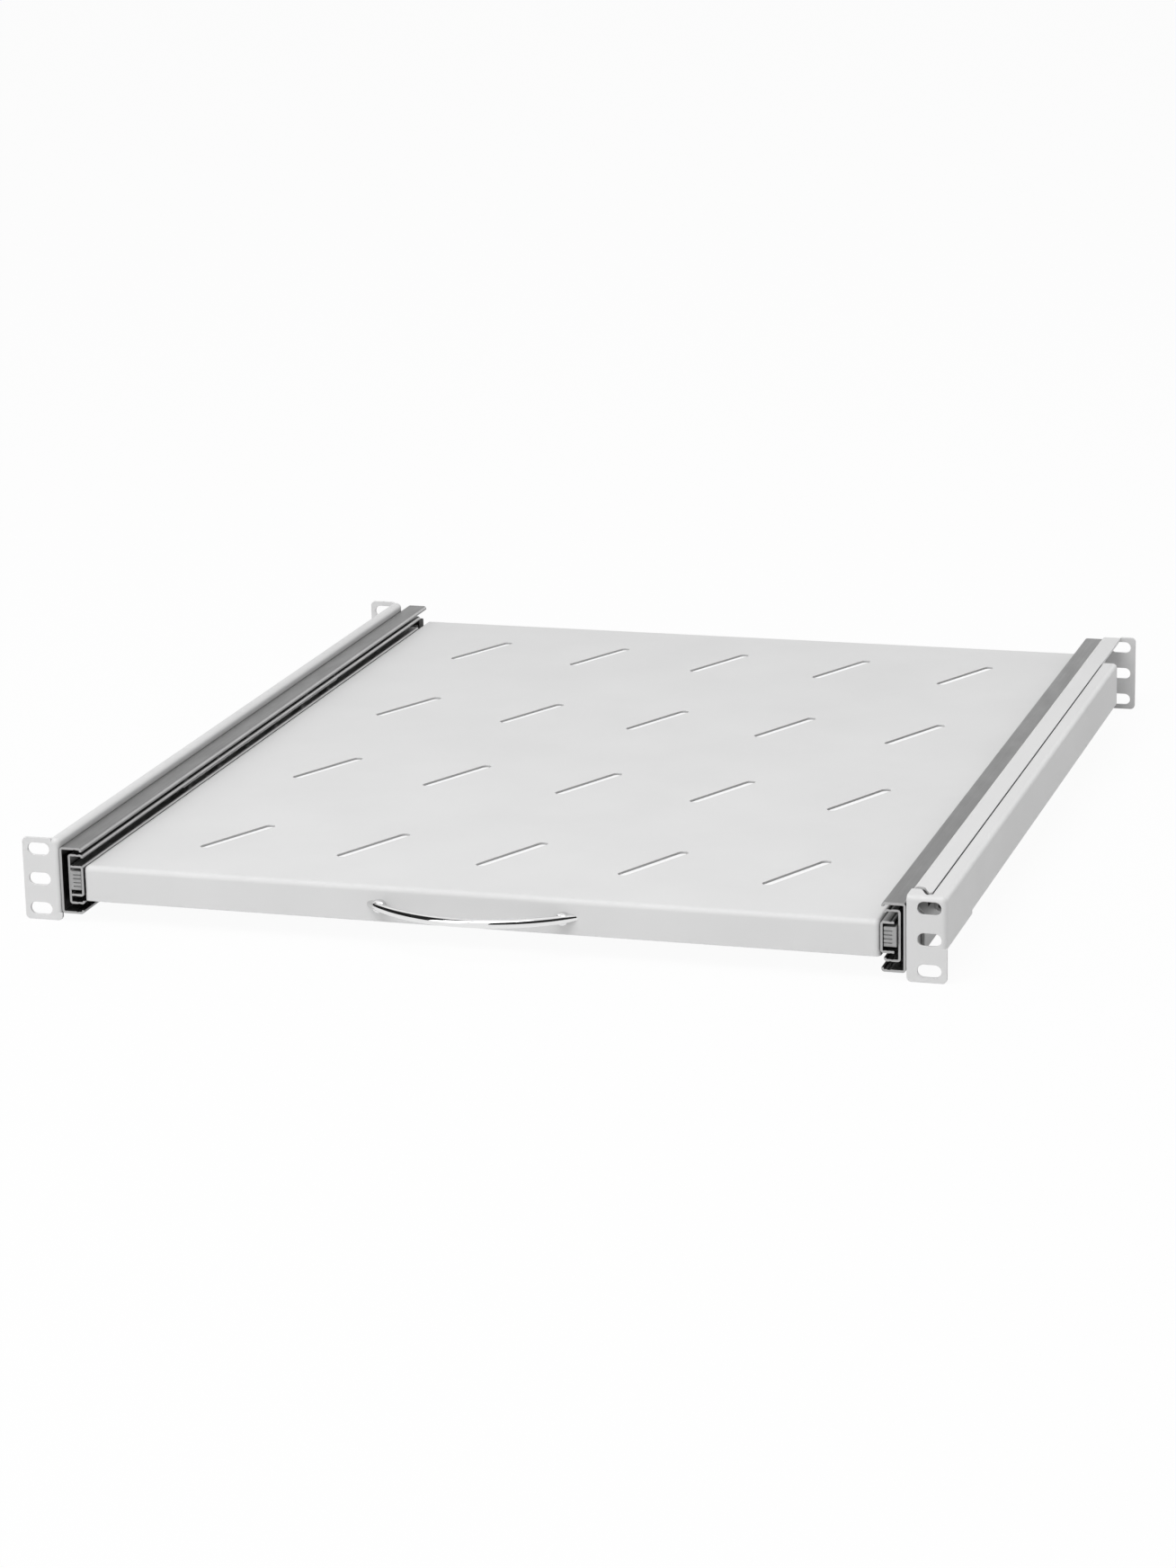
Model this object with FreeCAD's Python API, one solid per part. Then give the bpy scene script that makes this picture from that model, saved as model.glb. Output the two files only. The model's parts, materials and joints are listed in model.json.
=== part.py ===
import FreeCAD, Part
import math
import os

# Sliding rack shelf, millimetres. The origin is the middle of the front ear plane:
# +X to the right seen from the front, +Y to the back of the rack, +Z up.
# Both rails are modelled on the right, and the left-hand one is then mirrored. They share the slide,
# but the right-hand brackets are boxed round a channel and the left-hand ones are flat.

# Rack interface: ears for 19-inch posts, one rack unit high
rack_width = 482.6
ear_slot_spacing = 465.1
ear_slot_pitch = 15.875
ear_slot_length = 12.0
ear_slot_width = 6.6
ear_slots = 3
ear_width = 20.0
ear_height = 43.6
ear_corner = 2.5
post_depth = 540.0
depth_adjust = 80.0

# Bracket sheet
bracket_gauge = 1.5
bracket_bend = 1.2
front_bracket_length = 475.0
front_web_height = 26.0
front_flange_width = 7.9
channel_start = 60.0
channel_lip_height = 16.0
gusset_depth = 12.0
gusset_width = 5.0
gusset_notch_depth = 3.4
gusset_notch_width = 3.2
gusset_round = 1.8
gusset_gap = 3.0
flange_gap = 0.9
web_nose_length = 25.0
web_nose_rise = 13.0
web_nose_z = 2.0
web_slot_margin = 7.0
flat_flange_width = 4.3
flat_end_gap = 1.5

# Slide, three sections with two rows of balls on each side
slide_length = 550.0
slide_height = 35.2
slide_thickness = 12.7
slide_gauge = 1.2
slide_bend = 0.5
slide_play = 0.3
outer_lip_setback = 0.5
outer_lip_straight = 0.4
middle_web_gap = 2.0
middle_lip_setback = 1.1
middle_lip_straight = 0.2
middle_front_setback = 3.0
middle_rear_setback = 10.0
inner_flange_width = 6.9
inner_rear_setback = 17.0
access_hole_diameter = 9.0

# Balls, raceways and ball cages
outer_ball_diameter = 3.5
inner_ball_diameter = 4.2
ball_play = 0.05
outer_race_depth = 0.25
inner_race_depth = 0.15
balls_per_row = 6
cage_gauge = 0.5
cage_rim = 0.6
cage_pocket_play = 0.08
outer_cage_front = 140.0
outer_cage_length = 260.0
inner_cage_front = 145.0
inner_cage_length = 245.0
cage_end_margin = 12.0

# Fasteners of the rails
screw_diameter = 4.0
screw_hole_play = 0.15
low_head_diameter = 7.5
low_head_height = 1.0
slide_screw_first = 125.0
slide_screw_pitch = 140.0
slide_screw_rear = 525.0
slide_screw_z = 5.0
nut_across_flats = 7.0
nut_height = 3.2
nut_flange_diameter = 9.5
nut_flange_height = 1.0
screw_tip = 0.6

# Bumpers
bumper_length = 8.0
bumper_height = 20.0
bumper_round = 1.0
bumper_gap = 1.0
bumper_stub_diameter = 4.0

# Tray
tray_depth = 550.0
tray_gauge = 1.2
tray_bend = 1.8
tray_lip_height = 18.5
tray_rear_lip_height = 10.0
tray_top = 8.3
vent_columns = 5
vent_rows = 4
vent_column_pitch = 75.0
vent_length = 52.0
vent_width = 5.6
vent_lean = 25.0
tray_screw_first = 110.0
tray_screw_pitch = 160.0
tray_screws = 3
tray_screw_diameter = 3.5
tray_screw_reach = 4.4
pan_head_diameter = 7.5
pan_head_height = 2.2

# Handle, a bow with two screws behind the lip
handle_span = 108.0
handle_reach = 22.0
handle_bar_diameter = 4.4
handle_hole_spacing = 96.0
handle_z = -1.5
handle_boss_diameter = 6.4
handle_thread_depth = 4.0

# Release lever at the front of the inner member
lever_pivot_y = 40.0
lever_tail_y = 74.0
lever_front_y = 0.5
lever_thumb_length = 9.0
lever_thumb_height = 10.2
lever_arm_height = 6.0
lever_clearance = 0.4
lever_arm_thickness = 4.6
lever_ridges = 4
lever_ridge_depth = 0.6
pin_diameter = 3.0
pin_play = 0.05
pin_head_diameter = 5.0
pin_head_height = 0.8

# Places worked out from the sizes above
rail_x = rack_width / 2
ear_inner_x = rail_x - ear_width
ear_top = ear_height / 2
ear_slot_x = ear_slot_spacing / 2
slide_x = ear_inner_x - slide_play
tray_half = slide_x - slide_thickness
flange_edge_x = rail_x - front_flange_width
front_web_bottom = ear_top - front_web_height
rear_web_bottom = -slide_height / 2
lip_x = slide_x + bracket_gauge
nut_x = lip_x + bracket_gauge
flat_roof_x = slide_x + flat_flange_width

outer_ball_radius = outer_ball_diameter / 2
inner_ball_radius = inner_ball_diameter / 2
outer_under = slide_height / 2 - slide_gauge
outer_ball_z = outer_under + outer_race_depth - outer_ball_radius - ball_play
middle_top = outer_ball_z - outer_ball_radius - ball_play + outer_race_depth
middle_under = middle_top - slide_gauge
inner_ball_z = middle_under + inner_race_depth - inner_ball_radius - ball_play
inner_top = inner_ball_z - inner_ball_radius - ball_play + inner_race_depth
outer_lip_x = tray_half + outer_lip_setback
outer_lip_drop = slide_gauge + slide_bend + outer_lip_straight
middle_lip_x = tray_half + middle_lip_setback
middle_lip_drop = slide_gauge + slide_bend + middle_lip_straight
middle_web_x = slide_x - slide_gauge - middle_web_gap
outer_cage_edge_x = outer_lip_x + slide_gauge + slide_play
inner_cage_edge_x = middle_lip_x + slide_gauge + slide_play
outer_ball_x = outer_cage_edge_x + cage_rim + outer_ball_radius
inner_ball_x = inner_cage_edge_x + cage_rim + inner_ball_radius
inner_flange_x = tray_half + inner_flange_width
inner_channel_x = tray_half + slide_gauge

slide_screw_places = [slide_screw_first + step * slide_screw_pitch for step in range(3)]
tray_screw_places = [tray_screw_first + step * tray_screw_pitch for step in range(tray_screws)]
screw_radius = screw_diameter / 2
screw_hole_radius = screw_radius + screw_hole_play
tray_screw_radius = tray_screw_diameter / 2
tray_screw_hole_radius = tray_screw_radius + screw_hole_play
rear_web_front = slide_screw_first - depth_adjust - screw_hole_radius - web_slot_margin
tray_bottom = tray_top - tray_lip_height


def vec(x, y, z):
    return FreeCAD.Vector(x, y, z)


def block(x_range, y_range, z_range):
    """Box between the ends of three ranges."""
    low = vec(min(x_range), min(y_range), min(z_range))
    size = vec(max(x_range), max(y_range), max(z_range)) - low
    return Part.makeBox(size.x, size.y, size.z, low)


def rod_x(radius, x_range, y, z):
    """Cylinder along X between the ends of a range."""
    return Part.makeCylinder(radius, max(x_range) - min(x_range), vec(min(x_range), y, z), vec(1, 0, 0))


def rod_y(radius, y_range, x, z):
    """Cylinder along Y between the ends of a range."""
    return Part.makeCylinder(radius, max(y_range) - min(y_range), vec(x, min(y_range), z), vec(0, 1, 0))


def bent_edges(path, offset, radius, normal):
    """Edges beside a planar path whose corners are rounded, at an offset to its left."""
    runs = [(end - start).normalize() for start, end in zip(path, path[1:])]
    last = path[0] + normal.cross(runs[0]) * offset
    edges = []
    for corner, before, after in zip(path[1:], runs, runs[1:]):
        turn = math.copysign(1, normal.dot(before.cross(after)))
        reach = radius * math.tan(before.getAngle(after) / 2)
        centre = corner - before * reach + normal.cross(before) * radius * turn
        round_off = radius - offset * turn
        first = centre - normal.cross(before) * round_off * turn
        final = centre - normal.cross(after) * round_off * turn
        middle = centre + (corner - centre).normalize() * round_off
        edges.append(Part.makeLine(last, first))
        edges.append(Part.Arc(first, middle, final).toShape())
        last = final
    edges.append(Part.makeLine(last, path[-1] + normal.cross(runs[-1]) * offset))
    return edges


def closed_face(edges):
    """Face inside a closed ring of edges."""
    return Part.Face(Part.Wire(Part.sortEdges(edges)[0]))


def bent_sheet(path, gauge, inside_radius, along):
    """Sheet of one gauge whose middle follows a path, bent at each corner and run along a vector."""
    normal = FreeCAD.Vector(along).normalize()
    radius = inside_radius + gauge / 2
    left = bent_edges(path, gauge / 2, radius, normal)
    right = bent_edges(path, -gauge / 2, radius, normal)
    caps = []
    for place in (0, -1):
        caps.append(Part.makeLine(left[place].Vertexes[place].Point, right[place].Vertexes[place].Point))
    return closed_face(left + right + caps).extrude(along)


def rounded_at(solid, corner, radius):
    """Solid with the three edges that meet at a corner rounded."""
    edges = [edge for edge in solid.Edges if any(v.Point.isEqual(corner, 1e-6) for v in edge.Vertexes)]
    return solid.makeFillet(radius, edges)


def corner_shell(width, length, height, gauge, bend):
    """Web at x = 0, ear at y = 0 and roof at z = 0 of one sheet, rounded where they meet."""
    outside = Part.makeBox(width, length, height, vec(-width, 0, -height))
    outside = rounded_at(outside, vec(0, 0, 0), bend + gauge)
    inside = Part.makeBox(width, length, height, vec(-width - gauge, gauge, -height - gauge))
    inside = rounded_at(inside, vec(-gauge, gauge, -gauge), bend)
    return outside.cut(inside)


def obround(length, width, height, centre):
    """Prism along Z with round ends, its length along X."""
    half = (length - width) / 2
    middle = Part.makeBox(2 * half, width, height, vec(-half, -width / 2, 0))
    ends = [Part.makeCylinder(width / 2, height, vec(side * half, 0, 0)) for side in (-1, 1)]
    solid = middle.fuse(ends).removeSplitter()
    solid.translate(centre)
    return solid


def ear_slot_cutters(y_front, y_back):
    """Cutters for the rack slots of one ear between two depths."""
    cutters = []
    for step in range(ear_slots):
        cutter = obround(ear_slot_length, ear_slot_width, y_back - y_front, vec(0, 0, 0))
        cutter.rotate(vec(0, 0, 0), vec(1, 0, 0), -90)
        cutter.translate(vec(ear_slot_x, y_front, (step - (ear_slots - 1) / 2) * ear_slot_pitch))
        cutters.append(cutter)
    return cutters


def rounded_plate(x_range, y_range, z_range, radius, corners):
    """Upright plate with the named corners of its outline rounded, (x, z) pairs, as far as it has room."""
    plate = block(x_range, y_range, z_range)
    edges = []
    for edge in plate.Edges:
        place = edge.CenterOfMass
        on_corner = [abs(place.x - x) + abs(place.z - z) < 1e-6 for x, z in corners]
        if any(on_corner):
            edges.append(edge)
    room = min(max(x_range) - min(x_range), max(z_range) - min(z_range))
    return plate.makeFillet(min(radius, 0.9 * room), edges)


def ear_plates(split_x, y_range):
    """Outer part of an ear beside a web at the slide, and the ear's foot below that web."""
    outer_corners = [(rail_x, -ear_top), (rail_x, ear_top)]
    outer = rounded_plate((split_x, rail_x), y_range, (-ear_top, ear_top), ear_corner, outer_corners)
    foot_range = (-ear_top, rear_web_bottom)
    foot = rounded_plate((slide_x, split_x), y_range, foot_range, ear_corner, [(slide_x, -ear_top)])
    return [outer, foot]


def long_slot_cutters(web_x):
    """Cutters for the long slots of a rear web, along which it is drawn out on the slide's screws."""
    cutters = []
    width = 2 * screw_hole_radius
    for y in slide_screw_places + [slide_screw_rear]:
        slot = obround(depth_adjust + width, width, 4 * bracket_gauge, vec(0, 0, 0))
        slot.rotate(vec(0, 0, 0), vec(0, 0, 1), 90)
        slot.rotate(vec(0, 0, 0), vec(0, 1, 0), 90)
        slot.translate(vec(web_x - bracket_gauge, y - depth_adjust / 2, slide_screw_z))
        cutters.append(slot)
    return cutters


def gusset_path(y_end):
    """Edge of the front bracket's roof: round the gusset at the ear, then along the flange."""
    return [
        vec(ear_inner_x - ear_width, gusset_depth, 0),
        vec(ear_inner_x + gusset_width, gusset_depth, 0),
        vec(flange_edge_x - gusset_notch_width, gusset_notch_depth, 0),
        vec(flange_edge_x, gusset_notch_depth, 0),
        vec(flange_edge_x, y_end, 0),
    ]


def gusset_cutter(offset, y_end, far_corners):
    """Upright prism on one side of the gusset's edge, closed through far corners."""
    path = gusset_path(y_end)
    edges = bent_edges(path, offset, gusset_round, vec(0, 0, 1))
    ring = [edges[-1].Vertexes[-1].Point] + far_corners + [edges[0].Vertexes[0].Point]
    for start, end in zip(ring, ring[1:]):
        edges.append(Part.makeLine(start, end))
    prism = closed_face(edges).extrude(vec(0, 0, 2 * ear_height))
    prism.translate(vec(0, 0, -ear_height))
    return prism


def boxed_front_bracket():
    """Front ear with its gusset, the outer web and the channel that holds the slide."""
    gauge = bracket_gauge
    length = front_bracket_length
    shell = corner_shell(ear_width, length, front_web_height, gauge, bracket_bend)
    shell.translate(vec(rail_x, 0, ear_top))
    far_y = length + ear_width
    far = [vec(ear_inner_x - ear_width, far_y, 0)]
    shell = shell.cut(gusset_cutter(0, far_y, far))
    web_foot = front_web_bottom + gauge + 2 * bracket_bend
    shell = shell.cut(block((ear_inner_x, rail_x + gauge), (channel_start, far_y), (-ear_height, web_foot)))
    web_middle = rail_x - gauge / 2
    floor_middle = front_web_bottom + gauge / 2
    lip_middle = lip_x + gauge / 2
    path = [
        vec(web_middle, channel_start, web_foot),
        vec(web_middle, channel_start, floor_middle),
        vec(lip_middle, channel_start, floor_middle),
        vec(lip_middle, channel_start, front_web_bottom + channel_lip_height),
    ]
    channel = bent_sheet(path, gauge, bracket_bend, vec(0, length - channel_start, 0))
    foot = rounded_plate(
        (ear_inner_x, rail_x),
        (0, gauge),
        (-ear_top, front_web_bottom),
        ear_corner,
        [(ear_inner_x, -ear_top), (rail_x, -ear_top)],
    )
    bracket = shell.fuse([channel, foot]).removeSplitter()
    cutters = ear_slot_cutters(-gauge, gauge + bracket_bend)
    for y in slide_screw_places:
        cutters.append(rod_x(screw_hole_radius, (lip_x - gauge, nut_x + gauge), y, slide_screw_z))
    return bracket.cut(cutters)


def nose_cutter():
    """Cutter for the slanting front end of the boxed rear web, clear of its first long slot."""
    nose_top = web_nose_z + web_nose_rise
    corners = [
        vec(slide_x - bracket_gauge, -ear_width, nose_top),
        vec(slide_x - bracket_gauge, rear_web_front - web_nose_length, nose_top),
        vec(slide_x - bracket_gauge, rear_web_front, web_nose_z),
        vec(slide_x - bracket_gauge, rear_web_front, -ear_height),
        vec(slide_x - bracket_gauge, -ear_width, -ear_height),
    ]
    return Part.Face(Part.makePolygon(corners + corners[:1])).extrude(vec(ear_width, 0, 0))


def boxed_rear_bracket():
    """Rear ear, its web beside the slide and its roof, slotted so that it can be drawn out."""
    gauge = bracket_gauge
    height = ear_top - rear_web_bottom
    shell = corner_shell(ear_width, post_depth, height, gauge, bracket_bend)
    shell.rotate(vec(0, 0, 0), vec(0, 0, 1), 180)
    shell.translate(vec(slide_x, post_depth, ear_top))
    far_y = post_depth + ear_width
    far_x = rail_x + ear_width
    far = [vec(far_x, far_y, 0), vec(far_x, -ear_width, 0), vec(ear_inner_x - ear_width, -ear_width, 0)]
    round_gusset = gusset_cutter(flange_gap, far_y, far)
    round_gusset.translate(vec(0, gusset_gap, 0))
    shell = shell.cut([round_gusset, nose_cutter()])
    plates = ear_plates(flange_edge_x - flange_gap, (post_depth - gauge, post_depth))
    bracket = shell.fuse(plates).removeSplitter()
    cutters = ear_slot_cutters(post_depth - gauge - bracket_bend, post_depth + gauge)
    return bracket.cut(cutters + long_slot_cutters(slide_x))


def flat_front_bracket():
    """Web on the slide's back, with the front ear and a narrow roof turned outwards from it."""
    gauge = bracket_gauge
    length = post_depth - gauge - flat_end_gap
    shell = corner_shell(ear_width, length, ear_top - rear_web_bottom, gauge, bracket_bend)
    shell = shell.mirror(vec(0, 0, 0), vec(1, 0, 0))
    shell.translate(vec(slide_x, 0, ear_top))
    beyond_roof = (flat_roof_x, rail_x + ear_width)
    shell = shell.cut(block(beyond_roof, (-gauge, post_depth), (-ear_height, ear_height)))
    bracket = shell.fuse(ear_plates(flat_roof_x, (0, gauge))).removeSplitter()
    cutters = ear_slot_cutters(-gauge, gauge + bracket_bend)
    for y in slide_screw_places + [slide_screw_rear]:
        cutters.append(rod_x(screw_hole_radius, (slide_x - gauge, lip_x + gauge), y, slide_screw_z))
    return bracket.cut(cutters)


def flat_rear_bracket():
    """Slotted web outside the front bracket's web, with the rear ear turned outwards from it."""
    gauge = bracket_gauge
    top = ear_top - gauge - bracket_bend - slide_play
    web = lip_x + gauge / 2
    ear = post_depth - gauge / 2
    plate_x = nut_x + bracket_bend
    path = [
        vec(web, rear_web_front, rear_web_bottom),
        vec(web, ear, rear_web_bottom),
        vec(plate_x + ear_corner, ear, rear_web_bottom),
    ]
    sheet = bent_sheet(path, gauge, bracket_bend, vec(0, 0, top - rear_web_bottom))
    plate = rounded_plate(
        (plate_x, rail_x),
        (post_depth - gauge, post_depth),
        (-ear_top, ear_top),
        ear_corner,
        [(x, z) for x in (plate_x, rail_x) for z in (-ear_top, ear_top)],
    )
    bracket = sheet.fuse(plate).removeSplitter()
    cutters = ear_slot_cutters(post_depth - gauge - bracket_bend, post_depth + gauge)
    return bracket.cut(cutters + long_slot_cutters(lip_x))


def channel_member(web_x, edge_x, top, lip_drop, y_range):
    """C-section of the slide: web, two flanges and, where there is a drop, two turned lips."""
    half = slide_gauge / 2
    y = min(y_range)
    web = web_x - math.copysign(half, web_x - edge_x)
    edge = edge_x + half if lip_drop else edge_x
    flange = top - half
    path = [vec(edge, y, flange), vec(web, y, flange), vec(web, y, -flange), vec(edge, y, -flange)]
    if lip_drop:
        path = [vec(edge, y, top - lip_drop)] + path + [vec(edge, y, lip_drop - top)]
    return bent_sheet(path, slide_gauge, slide_bend, vec(0, max(y_range) - y, 0))


def raceways(radius, x, z, y_range):
    """Groove cutters for an upper and a lower row of balls."""
    return [rod_y(radius + ball_play, y_range, x, side * z) for side in (-1, 1)]


def slide_outer_member():
    """Cabinet section of the slide, screwed to the brackets."""
    span = (0, slide_length)
    member = channel_member(slide_x, outer_lip_x, slide_height / 2, outer_lip_drop, span)
    cutters = raceways(outer_ball_radius, outer_ball_x, outer_ball_z, span)
    web = (slide_x - 2 * slide_gauge, slide_x + slide_gauge)
    for y in slide_screw_places + [slide_screw_rear]:
        cutters.append(rod_x(screw_hole_radius, web, y, slide_screw_z))
    cutters.append(rod_x(bumper_stub_diameter / 2 + ball_play, web, rear_bumper_middle(), 0))
    return member.cut(cutters)


def middle_range():
    """Depths between which the intermediate section runs."""
    return (middle_front_setback, slide_length - middle_rear_setback)


def slide_intermediate_member():
    """Middle section of the slide, with grooves for the balls on both sides of its flanges."""
    span = middle_range()
    member = channel_member(middle_web_x, middle_lip_x, middle_top, middle_lip_drop, span)
    cutters = raceways(outer_ball_radius, outer_ball_x, outer_ball_z, span)
    cutters += raceways(inner_ball_radius, inner_ball_x, inner_ball_z, span)
    web = (middle_web_x - 2 * slide_gauge, middle_web_x + slide_gauge)
    for y in slide_screw_places:
        cutters.append(rod_x(access_hole_diameter / 2, web, y, slide_screw_z))
    cutters.append(rod_x(bumper_stub_diameter / 2 + ball_play, web, middle_bumper_middle(), 0))
    return member.cut(cutters)


def inner_range():
    """Depths between which the tray's own section of the slide runs."""
    return (0, slide_length - inner_rear_setback)


def slide_inner_member():
    """Section of the slide that is screwed to the tray."""
    span = inner_range()
    member = channel_member(tray_half, inner_flange_x, inner_top, 0, span)
    cutters = raceways(inner_ball_radius, inner_ball_x, inner_ball_z, span)
    web = (tray_half - slide_gauge, tray_half + 2 * slide_gauge)
    for y in tray_screw_places:
        cutters.append(rod_x(tray_screw_hole_radius, web, y, 0))
    cutters.append(rod_x(pin_diameter / 2 + pin_play, web, lever_pivot_y, 0))
    return member.cut(cutters)


def ball_places(front, length):
    """Depths of the balls of one row along a cage."""
    pitch = (length - 2 * cage_end_margin) / (balls_per_row - 1)
    return [front + cage_end_margin + step * pitch for step in range(balls_per_row)]


def ball_rows(radius, x, z, front, length):
    """Upper and lower row of balls."""
    return Part.makeCompound([
        Part.makeSphere(radius, vec(x, y, side * z))
        for y in ball_places(front, length)
        for side in (-1, 1)
    ])


def ball_cage(web_x, edge_x, x, z, radius, front, length):
    """U-shaped strip with a pocket for each ball and windows punched in its web."""
    path = [vec(edge_x, front, z), vec(web_x, front, z), vec(web_x, front, -z), vec(edge_x, front, -z)]
    cage = bent_sheet(path, cage_gauge, cage_gauge, vec(0, length, 0))
    cutters = []
    places = ball_places(front, length)
    pocket_height = 4 * cage_gauge
    for y in places:
        for side in (-1, 1):
            base = vec(x, y, side * z - pocket_height / 2)
            cutters.append(Part.makeCylinder(radius + cage_pocket_play, pocket_height, base))
    for y, next_y in zip(places, places[1:]):
        window = obround((next_y - y) / 2, z, 4 * cage_gauge, vec(0, 0, 0))
        window.rotate(vec(0, 0, 0), vec(0, 0, 1), 90)
        window.rotate(vec(0, 0, 0), vec(0, 1, 0), 90)
        window.translate(vec(web_x - 2 * cage_gauge, (y + next_y) / 2, 0))
        cutters.append(window)
    return cage.cut(cutters)


def outer_ball_cage():
    """Cage between the outer and the intermediate section."""
    web_x = middle_web_x + slide_play / 2 + cage_gauge
    run = (outer_cage_front, outer_cage_length)
    return ball_cage(web_x, outer_cage_edge_x, outer_ball_x, outer_ball_z, outer_ball_radius, *run)


def inner_ball_cage():
    """Cage between the intermediate and the inner section."""
    web_x = inner_flange_x + slide_play + cage_gauge
    run = (inner_cage_front, inner_cage_length)
    return ball_cage(web_x, inner_cage_edge_x, inner_ball_x, inner_ball_z, inner_ball_radius, *run)


def slide_nut_places(rear_seat_x):
    """Depth and seat of each nut: outside both brackets, and the last on a seat of its own."""
    return [(y, nut_x) for y in slide_screw_places] + [(slide_screw_rear, rear_seat_x)]


def slide_screws(rear_seat_x):
    """Low-headed screws from inside the slide through the brackets."""
    head_x = slide_x - slide_gauge
    screws = []
    for y, seat_x in slide_nut_places(rear_seat_x):
        head = rod_x(low_head_diameter / 2, (head_x - low_head_height, head_x), y, slide_screw_z)
        shank = rod_x(screw_radius, (head_x, seat_x + nut_height + screw_tip), y, slide_screw_z)
        screws.append(head.fuse(shank))
    return Part.makeCompound(screws)


def flange_nut(y, seat_x):
    """Hexagon nut with a round flange on its seat."""
    radius = nut_across_flats / math.sqrt(3)
    corners = []
    for step in range(7):
        angle = math.radians(60 * step)
        corners.append(vec(seat_x, y + radius * math.cos(angle), slide_screw_z + radius * math.sin(angle)))
    hexagon = Part.Face(Part.makePolygon(corners)).extrude(vec(nut_height, 0, 0))
    flange = rod_x(nut_flange_diameter / 2, (seat_x, seat_x + nut_flange_height), y, slide_screw_z)
    bore = rod_x(screw_radius + ball_play, (seat_x - nut_height, seat_x + 2 * nut_height), y, slide_screw_z)
    return hexagon.fuse(flange).cut(bore)


def slide_nuts(rear_seat_x):
    """Nuts of the slide's screws."""
    return Part.makeCompound([flange_nut(y, seat_x) for y, seat_x in slide_nut_places(rear_seat_x)])


def bumper(x_range, y_range, height, stub_x):
    """Rubber block with rounded upright edges and a stub that plugs into a hole in the web."""
    body = block(x_range, y_range, (-height / 2, height / 2))
    edges = [edge for edge in body.Edges if edge.BoundBox.XLength > 0.9 * (max(x_range) - min(x_range))]
    body = body.makeFillet(bumper_round, edges)
    middle = sum(y_range) / 2
    stub = rod_x(bumper_stub_diameter / 2, (max(x_range), stub_x), middle, 0)
    return body.fuse(stub)


def rear_bumper_middle():
    """Depth of the middle of the bumper at the back of the outer section."""
    return sum(rear_bumper_range()) / 2


def rear_bumper_range():
    """Depths of the bumper behind the intermediate section."""
    return (middle_range()[1] + bumper_gap, middle_range()[1] + bumper_gap + bumper_length)


def slide_rear_bumper():
    """Bumper that stops the intermediate section when the shelf is in."""
    x_range = (middle_lip_x + slide_gauge, slide_x - slide_gauge)
    return bumper(x_range, rear_bumper_range(), bumper_height, slide_x)


def middle_bumper_range():
    """Depths of the bumper behind the inner section."""
    front = inner_range()[1] + bumper_gap
    return (front, middle_range()[1] - bumper_gap)


def middle_bumper_middle():
    """Depth of the middle of the bumper at the back of the intermediate section."""
    return sum(middle_bumper_range()) / 2


def intermediate_bumper():
    """Bumper that stops the inner section when the shelf is in."""
    x_range = (inner_channel_x + slide_gauge, middle_web_x - slide_gauge)
    return bumper(x_range, middle_bumper_range(), 2 * inner_top, middle_web_x)


def pan_screw(head_from, head_to, tip, radius):
    """Screw along a line: a domed head between two points and a plain shank to its tip."""
    axis = head_to - head_from
    height = axis.Length
    head = Part.makeCylinder(pan_head_diameter / 2, height, head_from, axis)
    rim = [edge for edge in head.Edges if edge.CenterOfMass.isEqual(head_from, 1e-6)]
    head = head.makeFillet(height / 2, rim)
    return head.fuse(Part.makeCylinder(radius, (tip - head_to).Length, head_to, axis))


def tray_side_screws():
    """Screws from inside the tray into the inner section."""
    screws = []
    seat_x = tray_half - tray_gauge
    for y in tray_screw_places:
        tip = vec(seat_x + tray_screw_reach, y, 0)
        head_top = vec(seat_x - pan_head_height, y, 0)
        screws.append(pan_screw(head_top, vec(seat_x, y, 0), tip, tray_screw_radius))
    return Part.makeCompound(screws)


def lever_x_range():
    """Sideways room for the lever between the inner and the intermediate section."""
    return (inner_channel_x + lever_clearance, middle_web_x - slide_gauge - lever_clearance)


def release_lever():
    """Latch lever: a ridged thumb block in front, an arm on its pin and a hooked tail."""
    near_x, far_x = lever_x_range()
    arm_x = (near_x, near_x + lever_arm_thickness)
    half_thumb = lever_thumb_height / 2
    half_arm = lever_arm_height / 2
    thumb_back = lever_front_y + lever_thumb_length
    thumb = block((near_x, far_x), (lever_front_y, thumb_back), (-half_thumb, half_thumb))
    upright = [edge for edge in thumb.Edges if edge.BoundBox.XLength > 0.9 * (far_x - near_x)]
    thumb = thumb.makeFillet(lever_ridge_depth, upright)
    arm = block(arm_x, (thumb_back, lever_tail_y), (-half_arm, half_arm))
    boss = rod_x(half_arm + pin_diameter / 3, arm_x, lever_pivot_y, 0)
    hook = block(arm_x, (lever_tail_y - lever_arm_height, lever_tail_y), (-half_arm, half_thumb))
    tail = [edge for edge in hook.Edges if edge.BoundBox.XLength > 0.9 * lever_arm_thickness]
    hook = hook.makeFillet(lever_ridge_depth, tail)
    lever = thumb.fuse([arm, boss, hook]).removeSplitter()
    cutters = [rod_x(pin_diameter / 2 + pin_play, (near_x - 1, far_x + 1), lever_pivot_y, 0)]
    pitch = lever_thumb_height / (lever_ridges + 1)
    for step in range(lever_ridges):
        z = -half_thumb + pitch * (step + 1)
        groove = (z - pitch / 6, z + pitch / 6)
        cutters.append(block((near_x, far_x - pitch), (0, lever_front_y + lever_ridge_depth), groove))
    return lever.cut(cutters)


def lever_pin():
    """Pin of the lever, flush with the tray side of the inner section and headed over the arm."""
    head_x = lever_x_range()[0] + lever_arm_thickness + lever_clearance / 4
    shank = rod_x(pin_diameter / 2, (tray_half, head_x), lever_pivot_y, 0)
    head = rod_x(pin_head_diameter / 2, (head_x, head_x + pin_head_height), lever_pivot_y, 0)
    return shank.fuse(head)


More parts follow.
